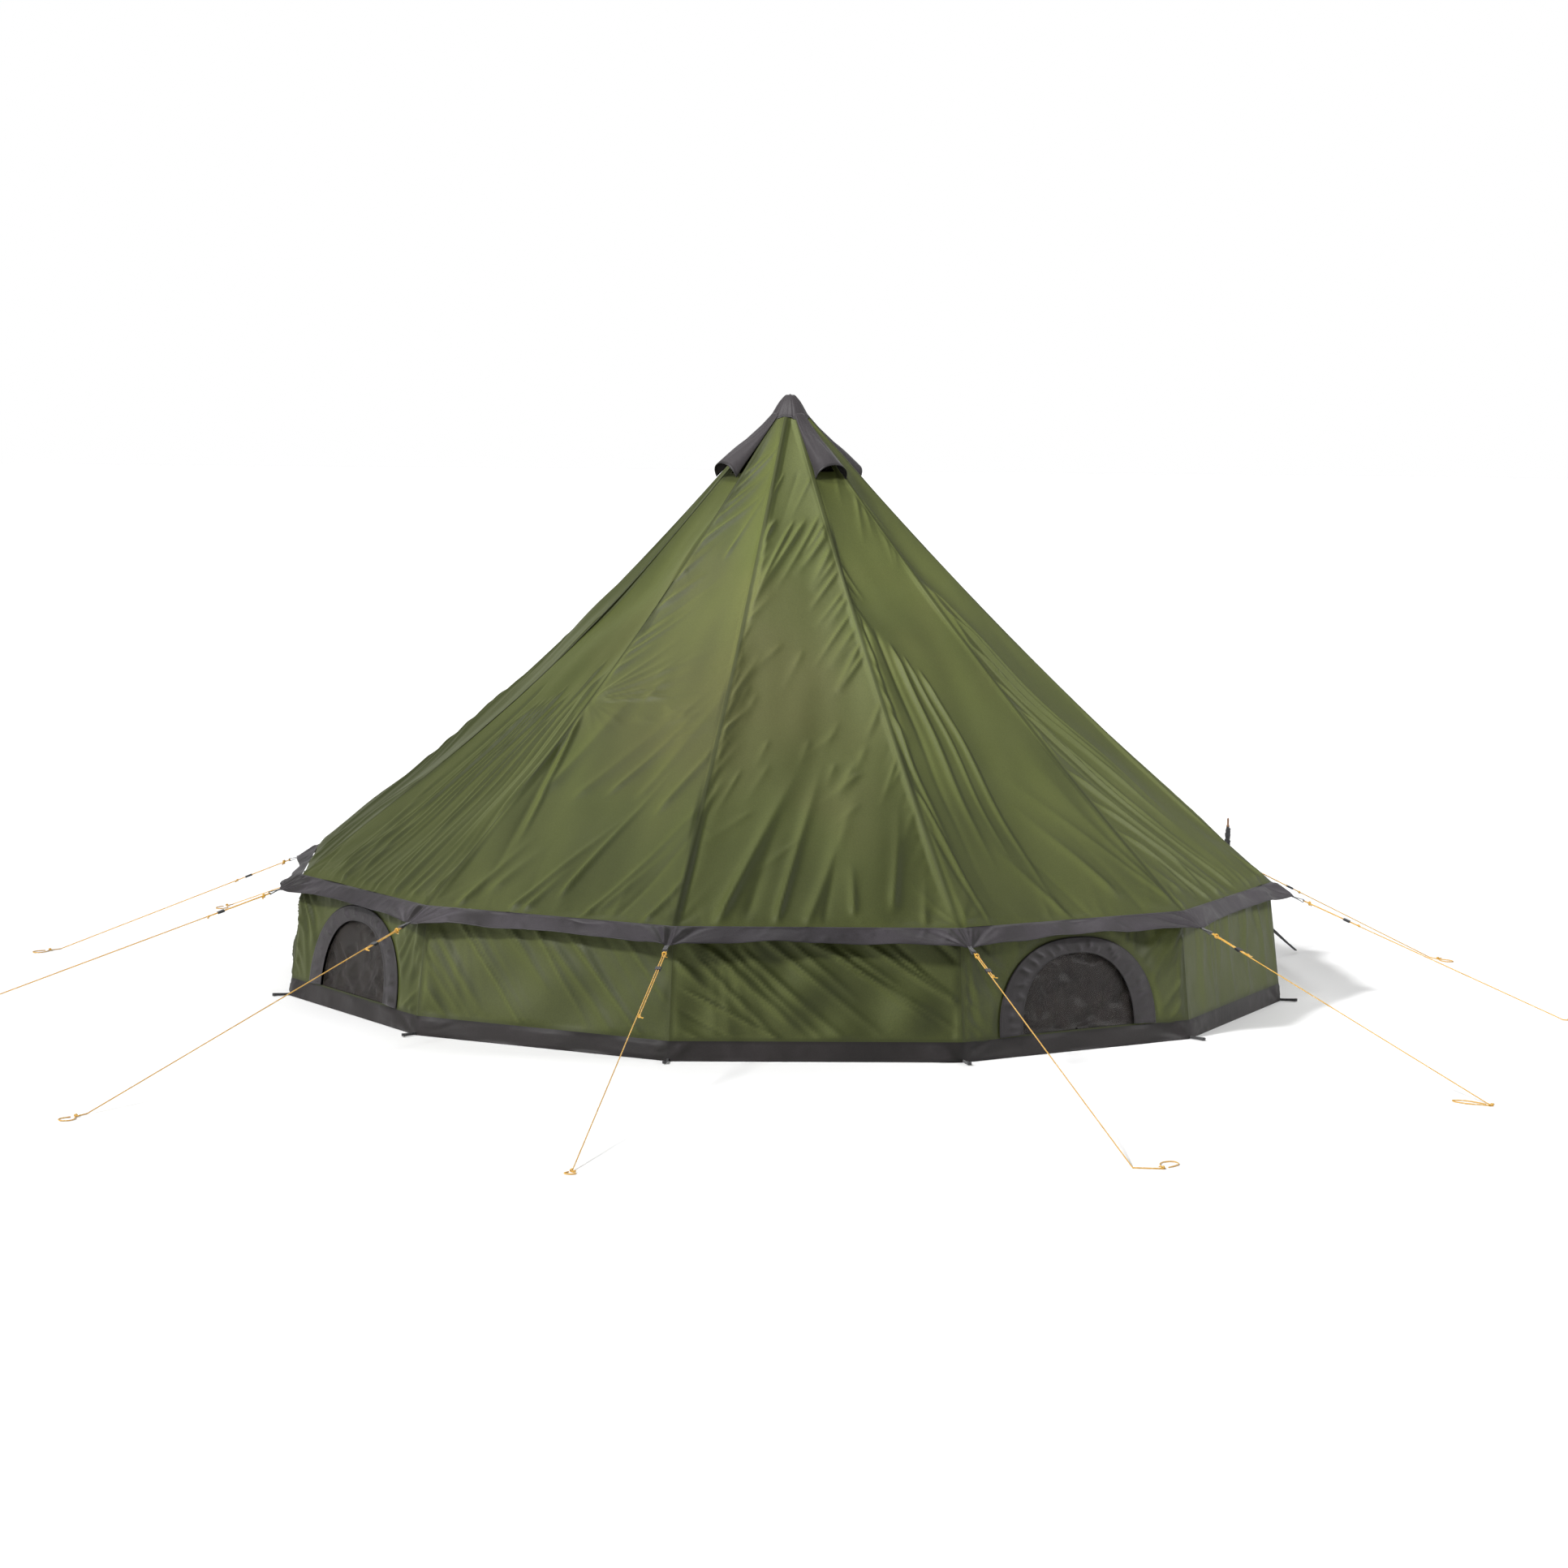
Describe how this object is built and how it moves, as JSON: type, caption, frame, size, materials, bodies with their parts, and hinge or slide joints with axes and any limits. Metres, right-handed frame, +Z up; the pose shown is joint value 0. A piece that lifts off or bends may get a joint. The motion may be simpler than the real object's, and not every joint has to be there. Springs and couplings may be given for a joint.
{
  "type": "bell tent",
  "caption": "Pyramid-like camping tent on a centre pole: faceted canopy, low wall with arched mesh windows, zipped door, peak vents, sewn-in floor and guy lines.",
  "frame": {"origin": "centre of the floor at ground level, on the centre pole's axis", "axes": "+Z up along the centre pole, the door faces -Y, windows face +X, +Y and -X"},
  "size_m": [8.5632, 8.414, 2.928],
  "materials": {
    "canopy_cloth": "olive green woven polyester with a soft sheen",
    "trim_cloth": "dark grey woven polyester",
    "floor_cloth": "dark grey coated groundsheet fabric",
    "mesh": "fine dark insect mesh",
    "cover_cloth": "dark wrinkled inner cover cloth",
    "webbing": "black polyester webbing",
    "guy_cord": "orange braided cord with reflective flecks",
    "steel_tube": "galvanised steel tube",
    "dark_tube": "black powder-coated steel",
    "black_plastic": "black moulded plastic",
    "foot_rubber": "black rubber",
    "brown_plastic": "brown moulded plastic",
    "zip": "black nylon zip"
  },
  "bodies": {
    "tent": {"groundsheet": "floor_cloth", "ground_skirt": "floor_cloth", "side_wall": "canopy_cloth", "roof_canopy": "canopy_cloth", "eave_valance": "trim_cloth", "peak_cap": "trim_cloth", "vent_hood_1": "trim_cloth", "vent_hood_2": "trim_cloth", "vent_hood_3": "trim_cloth", "vent_hood_4": "trim_cloth", "vent_mesh": "mesh", "window_trim": "trim_cloth", "window_mesh": "mesh", "zip_tape": "zip", "pole_foot": "foot_rubber", "pole_lower": "steel_tube", "pole_middle": "steel_tube", "pole_upper": "steel_tube", "pole_top_cap": "black_plastic", "door_upright_left": "dark_tube", "door_upright_right": "dark_tube", "upright_wraps": "webbing", "upright_tips": "brown_plastic", "upright_tabs": "webbing", "door_straps": "webbing", "eave_tabs": "webbing", "peg_loops": "webbing", "guy_line_01": "guy_cord", "guy_line_02": "guy_cord", "guy_line_03": "guy_cord", "guy_line_04": "guy_cord", "guy_line_05": "guy_cord", "guy_line_06": "guy_cord", "guy_line_07": "guy_cord", "guy_line_08": "guy_cord", "guy_line_09": "guy_cord", "guy_line_10": "guy_cord", "guy_line_11": "guy_cord", "guy_line_12": "guy_cord"},
    "upper_flap": {"door_flap_upper": "canopy_cloth", "door_valance": "trim_cloth"},
    "lower_flap": {"door_flap_lower": "canopy_cloth"},
    "cover_1": {"window_cover_1": "cover_cloth"},
    "cover_2": {"window_cover_2": "cover_cloth"},
    "cover_3": {"window_cover_3": "cover_cloth"},
    "zip_slider_left": {"zip_slider_left": "zip"},
    "zip_slider_right": {"zip_slider_right": "zip"},
    "guy_slider_01": {"guy_slider_01": "black_plastic"},
    "guy_slider_02": {"guy_slider_02": "black_plastic"},
    "guy_slider_03": {"guy_slider_03": "black_plastic"},
    "guy_slider_04": {"guy_slider_04": "black_plastic"},
    "guy_slider_05": {"guy_slider_05": "black_plastic"},
    "guy_slider_06": {"guy_slider_06": "black_plastic"},
    "guy_slider_07": {"guy_slider_07": "black_plastic"},
    "guy_slider_08": {"guy_slider_08": "black_plastic"},
    "guy_slider_09": {"guy_slider_09": "black_plastic"},
    "guy_slider_10": {"guy_slider_10": "black_plastic"},
    "guy_slider_11": {"guy_slider_11": "black_plastic"},
    "guy_slider_12": {"guy_slider_12": "black_plastic"}
  },
  "joints": [
    {"name": "door_upper_hinge", "type": "hinge", "parent": "tent", "child": "upper_flap", "pos_m": [0, -1.11081, 1.73775], "axis": [-1, 0, 0], "range_deg": [0, 45]},
    {"name": "door_lower_hinge", "type": "hinge", "parent": "tent", "child": "lower_flap", "pos_m": [0, -2.40287, 0.08922], "axis": [1, 0, 0], "range_deg": [0, 96]},
    {"name": "cover_1_hinge", "type": "hinge", "parent": "tent", "child": "cover_1", "pos_m": [2.39323, 0, 0.09413], "axis": [0, -1, 0], "range_deg": [0, 92]},
    {"name": "cover_2_hinge", "type": "hinge", "parent": "tent", "child": "cover_2", "pos_m": [0, 2.39323, 0.09413], "axis": [1, 0, 0], "range_deg": [0, 92]},
    {"name": "cover_3_hinge", "type": "hinge", "parent": "tent", "child": "cover_3", "pos_m": [-2.39323, 0, 0.09413], "axis": [0, 1, 0], "range_deg": [0, 92]},
    {"name": "zip_left_slide", "type": "slide", "parent": "tent", "child": "zip_slider_left", "axis": [0.1256, 0.7277, 0.6743], "range_m": [0, 1.55]},
    {"name": "zip_right_slide", "type": "slide", "parent": "tent", "child": "zip_slider_right", "axis": [-0.1256, 0.7277, 0.6743], "range_m": [0, 1.55]},
    {"name": "guy_slider_01_slide", "type": "slide", "parent": "tent", "child": "guy_slider_01", "axis": [0.855, 0.3958, -0.3352], "range_m": [-0.1, 0.03]},
    {"name": "guy_slider_02_slide", "type": "slide", "parent": "tent", "child": "guy_slider_02", "axis": [0.5691, 0.7289, -0.3805], "range_m": [-0.1, 0.03]},
    {"name": "guy_slider_03_slide", "type": "slide", "parent": "tent", "child": "guy_slider_03", "axis": [0.1828, 0.9306, -0.317], "range_m": [-0.1, 0.03]},
    {"name": "guy_slider_04_slide", "type": "slide", "parent": "tent", "child": "guy_slider_04", "axis": [-0.4551, 0.8623, -0.2221], "range_m": [-0.1, 0.03]},
    {"name": "guy_slider_05_slide", "type": "slide", "parent": "tent", "child": "guy_slider_05", "axis": [-0.7457, 0.6315, -0.2123], "range_m": [-0.1, 0.03]},
    {"name": "guy_slider_06_slide", "type": "slide", "parent": "tent", "child": "guy_slider_06", "axis": [-0.9126, 0.345, -0.2195], "range_m": [-0.1, 0.03]},
    {"name": "guy_slider_07_slide", "type": "slide", "parent": "tent", "child": "guy_slider_07", "axis": [-0.9623, -0.0122, -0.2717], "range_m": [-0.1, 0.03]},
    {"name": "guy_slider_08_slide", "type": "slide", "parent": "tent", "child": "guy_slider_08", "axis": [-0.7529, -0.5485, -0.3638], "range_m": [-0.1, 0.03]},
    {"name": "guy_slider_09_slide", "type": "slide", "parent": "tent", "child": "guy_slider_09", "axis": [-0.3132, -0.8449, -0.4336], "range_m": [-0.1, 0.03]},
    {"name": "guy_slider_10_slide", "type": "slide", "parent": "tent", "child": "guy_slider_10", "axis": [0.3357, -0.8724, -0.3553], "range_m": [-0.1, 0.03]},
    {"name": "guy_slider_11_slide", "type": "slide", "parent": "tent", "child": "guy_slider_11", "axis": [0.5877, -0.7269, -0.3553], "range_m": [-0.1, 0.03]},
    {"name": "guy_slider_12_slide", "type": "slide", "parent": "tent", "child": "guy_slider_12", "axis": [0.9271, -0.1213, -0.3547], "range_m": [-0.1, 0.03]}
  ]
}
